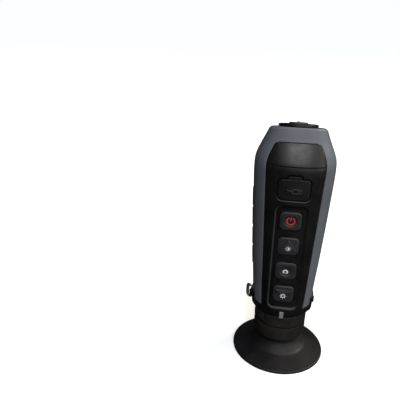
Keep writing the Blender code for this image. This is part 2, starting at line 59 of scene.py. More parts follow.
# Half width of the black mouldings where they meet the grey frame
PANEL_EDGE = (
    (38.0, 14.0), (56.0, 15.0), (88.0, 16.1), (117.0, 17.3),
    (147.5, 18.5), (152.0, 17.6), (161.0, 13.6), (170.2, 11.5),
)
CREASE_Z = 147.5
CREASE_R = 2.0  # half the height over which a change of slope is rounded
WALL = 2.0
BOTTOM = 38.0
BAND_BOTTOM = 43.2
PANEL_TOP = 161.0
PANEL_CORNER = 2.3
FACE_Z = 170.2
FACE_TILT = math.radians(9.0)
FACE_FRONT_Y = -16.0
FACE_EDGE_R = 1.2
MOUTH_R = 13.8
RIM_R = 0.35  # rounding of the edges along the seams

FRONT_STEPS, BAND_STEPS, BACK_STEPS = 18, 22, 14

TRAY_HALF_W, TRAY_BOTTOM, TRAY_TOP, TRAY_DEPTH = 9.5, 45.0, 121.0, 0.9
TRAY_CORNER = 3.0
KEY_HALF_W, KEY_HALF_H, KEY_CORNER = 7.0, 6.4, 3.2
KEY_PROUD = -0.1
KEY_ROWS = (("down", 56.5), ("capture", 74.7), ("up", 93.4), ("power", 111.5))
DISH_DEPTH = 0.7
ARROW_PROUD = 0.7
ARROW_HALF_BASE, ARROW_HEIGHT = 6.0, 8.9

DOOR_HALF_W, DOOR_HALF_H, DOOR_Z, DOOR_CORNER = 10.0, 6.9, 132.8, 3.0
DOOR_PROUD = 0.1
TAB_HALF_W, TAB_TOP, TAB_ABOVE = 4.3, 141.6, -0.5

GRIP_FIRST, GRIP_LAST, GRIP_BOTTOM, GRIP_TOP = 93.0, 133.0, 66.5, 125.5
GRIP_NOTCHES = 5

LUG_ANGLE, LUG_FIRST, LUG_LAST = 104.0, 66.0, 124.0
LUG_BOTTOM, LUG_TOP = 38.4, 49.4
LUG_PROUD = {"left": 0.55, "right": 0.95}
LOOP_Z, LOOP_RADIAL, LOOP_REACH, LOOP_HALF_H, LOOP_WIRE_R = 40.6, 22.45, 4.4, 4.6, 0.75
LOOP_FLARE = 0.7
LOOP_HEADINGS = {"left": 140.0, "right": 90.0}

GRIP_RADIUS, LUG_RADIUS = 25.0, 21.0  # roughly the body's there, which turns an angle into a length
SLOT_BOTTOM, SLOT_TOP, SLOT_ROOM = 43.45, 47.1, 2.2

SHARP_DEG = 32.0
LOOP_SIDES = 14
LAND_LONG_STEPS, LAND_CORNER_STEPS = 40, 6


# ---- shape of the body ----

def between(table, z):
    """The table's values at this height, joined by straight lines."""
    if z <= table[0][0]:
        return table[0][1:]
    for low, high in zip(table, table[1:]):
        if z <= high[0]:
            part = (z - low[0]) / (high[0] - low[0])
            return tuple(a + (b - a) * part for a, b in zip(low[1:], high[1:]))
    return table[-1][1:]


def eased(table, z):
    """The same, with each change of slope rounded."""
    reach = max(0.0, min(CREASE_R, z - table[0][0], table[-1][0] - z))
    rows = [between(table, z + reach * k / 2) for k in range(-2, 3)]
    return tuple(sum(values) / len(rows) for values in zip(*rows))


def depth_at(x, z, back=False):
    """How far the body's surface stands from the axis plane at this x and height."""
    width, front, rear, power = eased(BODY, z)
    depth = rear if back else front
    return depth * (1.0 - min(1.0, abs(x) / width) ** power) ** (1.0 / power)


def radius_at(angle, z, inset=0.0):
    """Radius of the oval section; angle 0 looks to the front, and pi to the back."""
    width, front, rear, power = eased(BODY, z)
    depth = front if math.cos(angle) > 0 else rear
    across = abs(math.sin(angle)) / (width - inset)
    along = abs(math.cos(angle)) / (depth - inset)
    return (across ** power + along ** power) ** (-1.0 / power)


def polar(angle, radius, z):
    return Vector((math.sin(angle) * radius, -math.cos(angle) * radius, z))


def spread(first, last, steps):
    return [first + (last - first) * k / steps for k in range(steps + 1)]


def smoothstep(value):
    value = min(1.0, max(0.0, value))
    return value * value * (3.0 - 2.0 * value)


def swell(border, reach):
    """0 at a border and 1 from this far inside it, along a quarter of a circle."""
    return math.sqrt(max(0.0, 1.0 - (1.0 - min(1.0, border / reach)) ** 2))


def side_angles(sign, first, last, steps):
    return [sign * math.radians(angle) for angle in spread(first, last, steps)]


def panel_edge(z):
    """Half width of the black mouldings, whose upper corners are rounded."""
    edge = eased(PANEL_EDGE, z)[0]
    rise = min(PANEL_CORNER, z - (PANEL_TOP - PANEL_CORNER))
    if rise <= 0.0:
        return edge
    fade = 1.0 - smoothstep((z - PANEL_TOP - GAP) / 7.0)
    return edge - fade * (PANEL_CORNER - math.sqrt(PANEL_CORNER ** 2 - rise ** 2))


def column_angles(z):
    """Angles round the body, with a narrow column at each seam between the mouldings and the frame."""
    edge = panel_edge(z)
    front = math.atan2(edge, depth_at(edge, z))
    front_far = math.atan2(edge + GAP, depth_at(edge + GAP, z))
    back = math.pi - math.atan2(edge, depth_at(edge, z, back=True))
    back_far = math.pi - math.atan2(edge + GAP, depth_at(edge + GAP, z, back=True))
    half = spread(0.0, front, FRONT_STEPS) + spread(front_far, back_far, BAND_STEPS)
    half += spread(back, math.pi, BACK_STEPS)
    return half + [2.0 * math.pi - angle for angle in reversed(half[1:-1])]


def rake(point):
    """Lowers a point of the upper body towards the back, so that the end face slopes."""
    weight = smoothstep((point.z - CREASE_Z) / (FACE_Z - CREASE_Z) * 0.5) * 2.0 if point.z < FACE_Z else 1.0
    drop = math.tan(FACE_TILT) * (point.y - FACE_FRONT_Y) * weight
    return Vector((point.x, point.y, point.z - drop))


def shell_heights():
    rows = spread(BOTTOM, BAND_BOTTOM, 4) + spread(BAND_BOTTOM + GAP, CREASE_Z - 2.5, 62)
    rows += spread(CREASE_Z - 2.0, CREASE_Z - 0.5, 3)
    rows += spread(CREASE_Z - 0.3, CREASE_Z + 0.3, 4) + spread(CREASE_Z + 0.5, CREASE_Z + 2.5, 4)
    rows += spread(151.0, PANEL_TOP - PANEL_CORNER, 5) + spread(PANEL_TOP - PANEL_CORNER + 0.5, PANEL_TOP, 8)
    return rows + spread(PANEL_TOP + GAP, FACE_Z - FACE_EDGE_R, 7)


def shell_ring(z, inset=0.0, drop=0.0, to_mouth=0.0, shift=0.0):
    """One ring of the body; to_mouth draws it in to the round mouth, and shift widens it there."""
    ring = []
    for angle in column_angles(z):
        radius = radius_at(angle, z, inset)
        radius += (MOUTH_R + shift - radius) * to_mouth
        point = rake(polar(angle, radius, z))
        ring.append(point - Vector((0.0, 0.0, drop)))
    return ring


def shell_grids(heights):
    outer = [shell_ring(z) for z in heights]
    inner = [shell_ring(z, WALL) for z in heights]
    for turn in spread(0.0, math.pi / 2, 5)[1:]:
        level = FACE_EDGE_R * (1.0 - math.sin(turn))
        outer.append(shell_ring(FACE_Z, FACE_EDGE_R * (1.0 - math.cos(turn)), level))
        inner.append(shell_ring(FACE_Z, WALL + 0.3 * turn, level + 2.2 * math.sin(turn)))
    for share in (0.35, 0.7):
        outer.append(shell_ring(FACE_Z, FACE_EDGE_R, 0.0, share, 0.3))
        inner.append(shell_ring(FACE_Z, WALL + 0.5, 2.2, share))
    for shift, drop in ((0.3, 0.0), (0.09, 0.09), (0.0, 0.3)):
        outer.append(shell_ring(FACE_Z, FACE_EDGE_R, drop, 1.0, shift))
        inner.append(shell_ring(FACE_Z, FACE_EDGE_R, 2.2, 1.0, 0.3 + shift))
    return outer, inner


# ---- making meshes ----

def made_from(name, mesh, sharp=SHARP_DEG):
    bmesh.ops.recalc_face_normals(mesh, faces=mesh.faces)
    data = bpy.data.meshes.new(name)
    mesh.to_mesh(data)
    mesh.free()
    shade(data, sharp)
    made = bpy.data.objects.new(name, data)
    bpy.context.scene.collection.objects.link(made)
    return made


def shade(data, sharp=SHARP_DEG):
    data.shade_smooth()
    data.set_sharp_from_angle(angle=math.radians(sharp))


def grid_solid(name, outer, inner, present, wrap=True, rim=0.0):
    """Closed solid between two grids of points, made of the cells for which present(row, column) is true.

    rim rounds the outer edges all round it.
    """
    mesh = bmesh.new()
    rows, columns = len(outer), len(outer[0])
    corners = {}
    rims = []

    def corner(layer, row, column):
        key = (layer, row, column % columns if wrap else column)
        if key not in corners:
            corners[key] = mesh.verts.new((outer, inner)[layer][key[1]][key[2]])
        return corners[key]

    def filled(row, column):
        inside = 0 <= row < rows - 1 and (wrap or 0 <= column < columns - 1)
        return inside and present(row, column % columns if wrap else column)

    for row in range(rows - 1):
        for column in range(columns if wrap else columns - 1):
            if not filled(row, column):
                continue
            loop = [(row, column), (row, column + 1), (row + 1, column + 1), (row + 1, column)]
            beside = [(row - 1, column), (row, column + 1), (row + 1, column), (row, column - 1)]
            for layer in (0, 1):
                mesh.faces.new([corner(layer, *place) for place in loop])
            for side, place in enumerate(beside):
                if filled(*place):
                    continue
                first, second = loop[side], loop[(side + 1) % 4]
                mesh.faces.new([corner(0, *first), corner(0, *second), corner(1, *second), corner(1, *first)])
                rims.append((corner(0, *first), corner(0, *second)))
    if rim:
        edges = [mesh.edges.get(pair) for pair in rims]
        bmesh.ops.recalc_face_normals(mesh, faces=mesh.faces)
        bmesh.ops.bevel(mesh, geom=edges, offset=rim, offset_type="OFFSET", segments=3, profile=0.5,
                        affect="EDGES", clamp_overlap=True)
    return made_from(name, mesh)


def patch(name, angles, heights, outer_at, inner_offset):
    """A plate that follows the body; outer_at(angle, z) is the height of its face above the surface."""
    outer = [[polar(a, radius_at(a, z) + outer_at(a, z), z) for a in angles] for z in heights]
    inner = [[polar(a, radius_at(a, z) + inner_offset, z) for a in angles] for z in heights]
    return grid_solid(name, outer, inner, lambda row, column: True, wrap=False)


def filleted(profile, radius):
    """The closed outline with each corner turned into an arc, as far as its sides leave room."""
    points = [Vector(point) for point in profile]
    result = []
    for k, here in enumerate(points):
        before, after = points[k - 1] - here, points[(k + 1) % len(points)] - here
        if here.x < 1e-6 or before.length < 1e-6 or after.length < 1e-6:
            result.append(here)
            continue
        half = before.angle(after) / 2
        if half > math.radians(86.0):
            result.append(here)
            continue
        reach = min(radius / math.tan(half), 0.45 * before.length, 0.45 * after.length)
        start, end = here + before.normalized() * reach, here + after.normalized() * reach
        for t in spread(0.0, 1.0, 4):
            result.append(start.lerp(here, t).lerp(here.lerp(end, t), t))
    return result


def curved(points, steps=5):
    """A smooth line through the points."""
    points = [Vector(point) for point in points]
    line = [points[0]]
    for k in range(len(points) - 1):
        a, b, c, d = (points[max(0, min(len(points) - 1, k + j))] for j in (-1, 0, 1, 2))
        for step in range(1, steps + 1):
            t = step / steps
            line.append(0.5 * (2 * b + (c - a) * t + (2 * a - 5 * b + 4 * c - d) * t ** 2
                               + (3 * b - a - 3 * c + d) * t ** 3))
    return line


def bridge(mesh, first, second):
    """A band of faces between two rings of vertices, either of which may be one vertex repeated."""
    for k in range(len(first)):
        after = (k + 1) % len(first)
        corners = [first[k], first[after], second[after], second[k]]
        corners = [v for j, v in enumerate(corners) if v not in corners[:j]]
        if len(corners) > 2:
            mesh.faces.new(corners)


def turned(name, profile, segments=96, at=(0.0, 0.0, 0.0)):
    """Solid of revolution about Z. A profile that starts off the axis is closed on itself."""
    mesh = bmesh.new()
    at = Vector(at)
    turns = [2 * math.pi * k / segments for k in range(segments)]
    rings = []
    for r, z in map(Vector, profile):
        if r < 1e-6:
            rings.append([mesh.verts.new(Vector((0.0, 0.0, z)) + at)] * segments)
        else:
            rings.append([mesh.verts.new(Vector((r * math.cos(a), r * math.sin(a), z)) + at) for a in turns])
    pairs = list(zip(rings, rings[1:]))
    if profile[0][0] >= 1e-6:
        pairs.append((rings[-1], rings[0]))
    for first, second in pairs:
        bridge(mesh, first, second)
    return made_from(name, mesh)


def post(radius, low, high, segments, at):
    """A plain round cutter."""
    return turned("post", [(0, low), (radius, low), (radius, high), (0, high)], segments, at)


def rounded(corners, radius, steps=5):
    """Outline of a polygon with rounded corners, listed anticlockwise, as a function of its inset."""
    def outline(inset):
        bend = max(radius - inset, 0.08)
        points = []
        for k, corner in enumerate(corners):
            here = Vector(corner)
            into = (here - Vector(corners[k - 1])).normalized()
            out = (Vector(corners[(k + 1) % len(corners)]) - here).normalized()
            inward = Vector((-into.y - out.y, into.x + out.x)) / (1.0 + into.dot(out))
            centre = here + inward * (inset + bend)
            start = math.atan2(-into.x, into.y)
            turn = math.atan2(into.cross(out), into.dot(out))
            for angle in spread(start, start + turn, steps):
                points.append(centre + Vector((math.cos(angle), math.sin(angle))) * bend)
        return points
    return outline


def rectangle(half_w, half_h, radius):
    return rounded([(half_w, -half_h), (half_w, half_h), (-half_w, half_h), (-half_w, -half_h)], radius)


def circle(radius, steps=40):
    def outline(inset):
        turns = spread(0.0, 2 * math.pi, steps)[:-1]
        return [Vector((math.cos(a), math.sin(a))) * (radius - inset) for a in turns]
    return outline


def relief(name, centre, outline, layers, back=False):
    """Closed stack of outlines that follows the body; each layer is (inset, height above its surface)."""
    mesh = bmesh.new()
    side = 1.0 if back else -1.0
    rings = []
    for inset, above in layers:
        ring = []
        for point in outline(inset):
            x, z = centre[0] + point.x, centre[1] + point.y
            ring.append(mesh.verts.new((x, side * (depth_at(x, z, back) + above), z)))
        rings.append(ring)
    for first, second in zip(rings, rings[1:]):
        bridge(mesh, first, second)
    mesh.faces.new(rings[0])
    mesh.faces.new(rings[-1])
    return made_from(name, mesh)


def crown(reach, above, stop, step=1.5):
    """Layers that carry the middle of a plate along the body's curve, up to its edge."""
    count = max(1, round((reach - stop) / step))
    return [(inset, above) for inset in spread(reach * 0.96, stop, count)]


def stroke(name, centre, path, half_width, above, below, closed=False):
    """A line of constant width that follows the body's front, as a thin closed solid."""
    path = [Vector(point) for point in path]
    count = len(path)
    outer, inner = [], []
    for k, point in enumerate(path):
        before = path[k - 1] if closed or k else point
        after = path[(k + 1) % count] if closed or k < count - 1 else point
        along = (after - before).normalized()
        aside = Vector((-along.y, along.x)) * half_width
        edges = [point + aside * share for share in (-1.0, -0.6, 0.6, 1.0)]
        places = [(centre[0] + edge.x, centre[1] + edge.y) for edge in edges]
        lows = (0.03, 0.0, 0.0, 0.03)
        outer.append([Vector((x, -depth_at(x, z) - above + low, z)) for (x, z), low in zip(places, lows)])
        inner.append([Vector((x, -depth_at(x, z) - below, z)) for x, z in places])
    if closed:
        outer.append(outer[0])
        inner.append(inner[0])
    made = grid_solid(name, outer, inner, lambda row, column: True, wrap=False)
    if closed:
        weld(made)
    return made


def weld(made):
    """Makes one point of each pair that coincides and drops the faces left inside."""
    mesh = bmesh.new()
    mesh.from_mesh(made.data)
    bmesh.ops.remove_doubles(mesh, verts=mesh.verts, dist=1e-4)
    seen = {}
    for face in mesh.faces:
        seen.setdefault(frozenset(v.index for v in face.verts), []).append(face)
    twins = [face for faces in seen.values() if len(faces) > 1 for face in faces]
    bmesh.ops.delete(mesh, geom=twins, context="FACES_ONLY")
    mesh.to_mesh(made.data)
    mesh.free()


def arc(radius, first, last, steps, centre=(0.0, 0.0)):
    turns = spread(math.radians(first), math.radians(last), steps)
    return [(centre[0] + radius * math.cos(a), centre[1] + radius * math.sin(a)) for a in turns]


def block(name, low, high, bevel):
    mesh = bmesh.new()
    low, high = Vector(low), Vector(high)
    size = Matrix.Diagonal((*(high - low), 1.0))
    bmesh.ops.create_cube(mesh, size=1.0, matrix=Matrix.Translation((low + high) / 2) @ size)
    if bevel:
        bmesh.ops.bevel(mesh, geom=mesh.edges, offset=bevel, segments=2, profile=0.5, affect="EDGES")
    return made_from(name, mesh)


def merged(target, *others):
    """Adds the other meshes to the target's, as they are."""
    mesh = bmesh.new()
    for made in (target, *others):
        made.data.transform(made.matrix_world)
        mesh.from_mesh(made.data)
    target.matrix_world = Matrix.Identity(4)
    mesh.to_mesh(target.data)
    mesh.free()
    shade(target.data)
    for other in others:
        bpy.data.objects.remove(other)
    return target


def combined(target, operation, *others):
    """Applies a Boolean with each of the others, which are then removed."""
    for other in others:
        change = target.modifiers.new("combine", "BOOLEAN")
        change.operation = operation
        change.solver = "MANIFOLD"
        change.object = other
    bpy.context.view_layer.update()
    evaluated = target.evaluated_get(bpy.context.evaluated_depsgraph_get())
    data = bpy.data.meshes.new_from_object(evaluated)
    target.modifiers.clear()
    target.data = data
    shade(data)
    for other in others:
        bpy.data.objects.remove(other)
    return target


def place(made, finish, body, *nodes, slot=None):
    """Gives a finished piece its material, its body and the CAD nodes that it stands for."""
    made.data.transform(made.matrix_world)
    made.matrix_world = Matrix.Identity(4)
    made.data.transform(Matrix.Scale(MM, 4))
    made.data.materials.clear()
    made.data.materials.append(FINISH[finish])
    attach(made, body)
    if nodes:
        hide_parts(*nodes)
    return made


# ---- materials ----

class Finish:
    """A Principled material with helpers for the noise that breaks up its colour, gloss and surface."""

    def __init__(self, name, roughness, metallic=0.0, specular=0.3, coat=0.0):
        self.material = bpy.data.materials.new(name)
        self.material.use_nodes = True
        self.tree = self.material.node_tree
        self.shader = self.tree.nodes["Principled BSDF"]
        self.shader.inputs["Roughness"].default_value = roughness
        self.shader.inputs["Metallic"].default_value = metallic
        self.shader.inputs["Specular IOR Level"].default_value = specular
        self.shader.inputs["Coat Weight"].default_value = coat
        self.place = self.tree.nodes.new("ShaderNodeTexCoord").outputs["Object"]

    def link(self, output, socket):
        self.tree.links.new(output, socket)

    def noise(self, size_mm, detail, rough=0.55, stretch=(1.0, 1.0, 1.0)):
        mapping = self.tree.nodes.new("ShaderNodeMapping")
        mapping.inputs["Scale"].default_value = stretch
        self.link(self.place, mapping.inputs["Vector"])
        made = self.tree.nodes.new("ShaderNodeTexNoise")
        made.inputs["Scale"].default_value = 1.0 / (size_mm * MM)
        made.inputs["Detail"].default_value = detail
        made.inputs["Roughness"].default_value = rough
        self.link(mapping.outputs["Vector"], made.inputs["Vector"])
        return made.outputs["Fac"]

    def levels(self, value, low, high, to_low, to_high):
        made = self.tree.nodes.new("ShaderNodeMapRange")
        for socket, number in zip(("From Min", "From Max", "To Min", "To Max"), (low, high, to_low, to_high)):
            made.inputs[socket].default_value = number
        self.link(value, made.inputs["Value"])
        return made.outputs["Result"]

    def mix(self, share, first, second):
        """Mixes two colours, each a colour or another node's output."""
        made = self.tree.nodes.new("ShaderNodeMix")
        made.data_type = "RGBA"
        sockets = {socket.identifier: socket for socket in made.inputs}
        for identifier, colour in (("A_Color", first), ("B_Color", second)):
            if isinstance(colour, tuple):
                sockets[identifier].default_value = (*colour, 1.0)
            else:
                self.link(colour, sockets[identifier])
        self.link(share, sockets["Factor_Float"])
        return next(socket for socket in made.outputs if socket.identifier == "Result_Color")

    def colour(self, output):
        self.link(output, self.shader.inputs["Base Color"])

    def gloss(self, value, low, high):
        self.link(self.levels(value, 0.3, 0.7, low, high), self.shader.inputs["Roughness"])

    def bump(self, value, depth_mm):
        made = self.tree.nodes.new("ShaderNodeBump")
        made.inputs["Strength"].default_value = 1.0
        made.inputs["Distance"].default_value = depth_mm * MM
        self.link(value, made.inputs["Height"])
        self.link(made.outputs["Normal"], self.shader.inputs["Normal"])

    def edges(self):
        """0 on flat stretches and 1 along worn outer edges."""
        geometry = self.tree.nodes.new("ShaderNodeNewGeometry")
        return self.levels(geometry.outputs["Pointiness"], 0.505, 0.57, 0.0, 1.0)


def moulded(name, colour, roughness, grain, grain_depth, contrast, specular, wear):
    """Moulded plastic or rubber: fine grain, cloudy tone, slightly polished edges and a few specks."""
    finish = Finish(name, roughness, specular=specular)
    darker = tuple(channel * (1.0 - contrast) for channel in colour)
    lighter = tuple(min(1.0, channel * (1.0 + contrast) + 0.002) for channel in colour)
    cloud = finish.noise(14.0, 4.0)
    toned = finish.mix(finish.levels(cloud, 0.35, 0.65, 0.0, 1.0), darker, lighter)
    worn = tuple(min(1.0, channel * 1.5 + 0.02) for channel in colour)
    scuffed = finish.levels(finish.noise(3.0, 5.0), 0.4, 0.7, 0.0, wear)
    share = finish.tree.nodes.new("ShaderNodeMath")
    share.operation = "MULTIPLY"
    finish.link(finish.edges(), share.inputs[0])
    finish.link(scuffed, share.inputs[1])
    toned = finish.mix(share.outputs["Value"], toned, worn)
    dust = tuple(min(1.0, channel + 0.09) for channel in colour)
    specks = finish.levels(finish.noise(1.1, 1.0), 0.76, 0.8, 0.0, 0.5)
    finish.colour(finish.mix(specks, toned, dust))
    finish.gloss(finish.noise(5.0, 3.0), roughness - 0.05, roughness + 0.07)
    finish.bump(finish.noise(grain, 2.0, 0.6), grain_depth)
    return finish.material


def printed(name, colour, darker):
    """Ink on rubber, slightly uneven."""
    finish = Finish(name, 0.5)
    finish.colour(finish.mix(finish.levels(finish.noise(0.8, 4.0), 0.35, 0.6, 0.0, 1.0), darker, colour))
    finish.bump(finish.noise(0.3, 2.0), 0.01)
    return finish.material


def metal(name, colour, roughness, brushed=(1.0, 1.0, 1.0)):
    finish = Finish(name, roughness, metallic=1.0, specular=0.5)
    darker = tuple(channel * 0.75 for channel in colour)
    lines = finish.noise(0.8, 5.0, 0.65, brushed)
    finish.colour(finish.mix(finish.levels(finish.noise(6.0, 4.0), 0.35, 0.65, 0.0, 1.0), darker, colour))
    finish.gloss(lines, roughness - 0.08, roughness + 0.15)
    finish.bump(lines, 0.006)
    return finish.material


def lens(name, tint, edge_tint, transmission, metallic=0.0):
    """Coated glass whose reflection changes colour towards the rim."""
    finish = Finish(name, 0.04, metallic=metallic, specular=0.6, coat=0.6)
    weight = finish.tree.nodes.new("ShaderNodeLayerWeight")
    weight.inputs["Blend"].default_value = 0.35
    finish.colour(finish.mix(weight.outputs["Facing"], tint, edge_tint))
    finish.shader.inputs["Transmission Weight"].default_value = transmission
    finish.gloss(finish.noise(4.0, 3.0), 0.02, 0.08)
    return finish.material


def board_finish():
    """Solder mask over copper lines, with lighter pads."""
    finish = Finish("circuit_board", 0.4, specular=0.5)
    bricks = finish.tree.nodes.new("ShaderNodeTexBrick")
    bricks.inputs["Scale"].default_value = 300.0
    bricks.inputs["Mortar Size"].default_value = 0.06
    finish.link(finish.place, bricks.inputs["Vector"])
    mask, trace, pad = (0.01, 0.07, 0.03), (0.03, 0.16, 0.06), (0.5, 0.42, 0.2)
    lined = finish.mix(bricks.outputs["Fac"], mask, trace)
    pads = finish.levels(finish.noise(1.8, 0.0), 0.66, 0.68, 0.0, 1.0)
    finish.colour(finish.mix(pads, lined, pad))
    finish.bump(bricks.outputs["Fac"], 0.03)
    return finish.material


def make_finishes():
    # Colour, roughness, size and depth of the grain in mm, contrast of the cloudy tone, specular, edge wear
    mouldings = {
        "black_plastic": ((0.0032, 0.0031, 0.0035), 0.34, 0.45, 0.02, 0.25, 0.42, 0.3),
        # painted highlight: a paler black for the left slope of the key tray, where it catches the light
        "painted_tray_highlight": ((0.028, 0.0275, 0.0275), 0.42, 0.45, 0.02, 0.25, 0.42, 0.3),
        "ring_plastic": ((0.0078, 0.0066, 0.006), 0.46, 0.35, 0.02, 0.25, 0.42, 0.3),
        "grey_plastic": ((0.086, 0.096, 0.111), 0.45, 0.4, 0.015, 0.06, 0.35, 0.15),
        "black_rubber": ((0.0042, 0.0038, 0.0046), 0.52, 0.5, 0.02, 0.2, 0.26, 0.35),
        "key_rubber": ((0.0175, 0.017, 0.019), 0.46, 0.35, 0.015, 0.12, 0.3, 0.3),
        "boss_plastic": ((0.06, 0.06, 0.062), 0.5, 0.4, 0.015, 0.1, 0.3, 0.2),
        "index_mark": ((0.17, 0.168, 0.162), 0.5, 0.4, 0.01, 0.08, 0.3, 0.1),
        "flex_film": ((0.36, 0.17, 0.04), 0.3, 0.6, 0.01, 0.15, 0.5, 0.1),
        "cell_wrap": ((0.05, 0.09, 0.2), 0.35, 0.8, 0.01, 0.1, 0.5, 0.1),
    }
    inks = {
        "icon_white": ((0.72, 0.72, 0.72), (0.5, 0.5, 0.5)),
        "icon_red": ((0.5, 0.06, 0.07), (0.38, 0.03, 0.035)),
        "icon_glow": ((0.028, 0.01, 0.011), (0.02, 0.008, 0.009)),
        "pictogram": ((0.05, 0.05, 0.052), (0.03, 0.03, 0.032)),
    }
    finishes = {name: moulded(name, *values) for name, values in mouldings.items()}
    finishes.update({name: printed(name, *colours) for name, colours in inks.items()})
    finishes["dark_steel"] = metal("dark_steel", (0.5, 0.5, 0.51), 0.5)
    finishes["steel"] = metal("steel", (0.42, 0.43, 0.45), 0.3)
    finishes["alloy"] = metal("alloy", (0.3, 0.31, 0.33), 0.42, (1.0, 1.0, 6.0))
    finishes["optical_glass"] = lens("optical_glass", (0.86, 0.92, 0.95), (0.35, 0.55, 0.5), 0.85)
    finishes["germanium"] = lens("germanium", (0.16, 0.12, 0.17), (0.3, 0.16, 0.1), 0.0, 0.8)
    finishes["circuit_board"] = board_finish()
    return finishes


# ---- casing ----

def is_front(column, columns):
    return column < FRONT_STEPS or column >= columns - FRONT_STEPS


def is_back(column):
    start = FRONT_STEPS + BAND_STEPS + 2
    return start <= column < start + 2 * BACK_STEPS


def is_band(column, columns):
    return FRONT_STEPS < min(column, columns - 1 - column) <= FRONT_STEPS + BAND_STEPS


def make_casing():
    heights = shell_heights()
    outer, inner = shell_grids(heights)
    columns = len(outer[0])
    band_row, top_row = heights.index(BAND_BOTTOM), heights.index(PANEL_TOP)

    def front_cell(row, column):
        return row < band_row or (row < top_row and is_front(column, columns))

    def frame_cell(row, column):
        return row > top_row or (band_row < row and is_band(column, columns))

    def back_cell(row, column):
        return band_row < row < top_row and is_back(column)

    make_front_panel(grooved(outer, heights, columns), inner, front_cell)
    side_frame = grid_solid("side_frame_look", outer, inner, frame_cell, rim=RIM_R)
    make_grips(side_frame)
    back = grid_solid("back_shell_look", outer, inner, back_cell, rim=RIM_R)
    make_back(back)


def grooved(outer, heights, columns):
    """The outer grid with a hairline groove across the front panel where its slope changes."""
    changed = [list(ring) for ring in outer]
    for row, z in enumerate(heights):
        if not 0.0 <= z - CREASE_Z < 0.5:
            continue
        depth = 0.35 * (1.0 - (z - CREASE_Z) / 0.5)
        for column, point in enumerate(outer[row]):
            if is_front(column, columns) or column == FRONT_STEPS:
                outward = Vector((point.x, point.y, 0.0)).normalized()
                changed[row][column] = point - outward * depth
    return changed


def make_front_panel(outer, inner, present):
    panel = grid_solid("front_panel_look", outer, inner, present, rim=RIM_R)
    middle, half_h = (TRAY_TOP + TRAY_BOTTOM) / 2, (TRAY_TOP - TRAY_BOTTOM) / 2
    tray = crown(TRAY_HALF_W, -TRAY_DEPTH, stop=0.45)
    tray += [(0.2, -TRAY_DEPTH + 0.04), (-0.1, -0.72), (-0.9, -0.2)]
    tray += [(-1.15, -0.06), (-1.5, 0.06), (-1.8, 4.0)]
    cutters = [relief("cut_tray", (0.0, middle), rectangle(TRAY_HALF_W, half_h, TRAY_CORNER), tray)]
    for label, z in KEY_ROWS:
        hole = [(-GAP, -6.0), (-GAP, -TRAY_DEPTH - 0.25), (-GAP - 0.2, -TRAY_DEPTH), (-GAP - 0.3, 0.5)]
        outline = rectangle(KEY_HALF_W, KEY_HALF_H, KEY_CORNER)
        cutters.append(relief(f"cut_key_{label}", (0.0, z), outline, hole))
    lip = [(-GAP, -6.0), (-GAP, -0.7), (-GAP - 0.12, -0.35), (-GAP - 0.35, -0.1), (-GAP - 0.6, 0.0),
           (-GAP - 0.9, 0.05), (-GAP - 1.1, 4.0)]
    cutters.append(relief("cut_door", (0.0, DOOR_Z), rectangle(DOOR_HALF_W, DOOR_HALF_H, DOOR_CORNER), lip))
    half_notch = 3.0
    notch = crown(half_notch, -1.35, stop=0.6)
    notch += [(0.2, -1.2), (0.0, -0.5), (-0.1, -0.1), (-0.3, 0.03), (-0.8, 4.0)]
    notch_z = TAB_TOP + 1.2 - half_notch
    cutters.append(relief("cut_notch", (0.0, notch_z), rectangle(TAB_HALF_W + 0.6, half_notch, 1.9), notch))
    combined(panel, "DIFFERENCE", *cutters)
    place(panel, "black_plastic", "housing", "front_panel")
    # paints a highlight on the left slope of the key tray
    paint_tray_highlight(panel, middle, half_h)


def paint_tray_highlight(panel, middle, half_h):
    """Painted highlight: the left slope of the key tray is paler than the rest, standing in for the light
    that it catches.
    """
    panel.data.materials.append(FINISH["painted_tray_highlight"])
    for face in panel.data.polygons:
        x, z = face.center.x / MM, face.center.z / MM
        aside = abs(x) - TRAY_HALF_W + TRAY_CORNER
        above = abs(z - middle) - half_h + TRAY_CORNER
        from_corner = math.hypot(max(aside, 0.0), max(above, 0.0))
        outside = from_corner + min(max(aside, above), 0.0) - TRAY_CORNER
        # faces on the tray's left slope get the paler finish of the painted highlight
        if x < -0.7 * TRAY_HALF_W and 0.05 < outside < 0.95:
            face.material_index = 1


def make_grips(side_frame):
    """Notched rubber pads let into the sides of the frame."""
    notch_pitch = (GRIP_TOP - GRIP_BOTTOM) / (GRIP_NOTCHES - 1)
    edge_mm = 1.1

    def face(angle, z):
        """Rounded at the pad's border, with a notch across it at each pitch."""
        turn = abs(math.degrees(angle))
        to_side = min(turn - GRIP_FIRST, GRIP_LAST - turn) * math.radians(1.0) * GRIP_RADIUS
        border = min(to_side, z - GRIP_BOTTOM, GRIP_TOP - z)
        height = -0.5 + 1.2 * swell(border, edge_mm)
        along = (z - GRIP_BOTTOM) / notch_pitch
        beside = abs(along - round(along)) * notch_pitch
        return height - 0.75 * (1.0 - smoothstep(beside / 1.5)) * min(1.0, border / edge_mm)

    cutters = []
    for side, sign in (("left", -1), ("right", 1)):
        angles = side_angles(sign, GRIP_FIRST, GRIP_LAST, 44)
        pad = patch(f"side_grip_{side}_look", angles, spread(GRIP_BOTTOM, GRIP_TOP, 150), face, -0.9)
        place(pad, "black_rubber", "housing", f"side_grip_{side}")
        wider = side_angles(sign, GRIP_FIRST - 0.8, GRIP_LAST + 0.8, 22)
        tall = spread(GRIP_BOTTOM - GAP, GRIP_TOP + GAP, 30)
        cutters.append(patch(f"cut_grip_{side}", wider, tall, lambda angle, z: 4.0, -1.1))
    combined(side_frame, "DIFFERENCE", *cutters)
    place(side_frame, "grey_plastic", "housing", "side_frame")


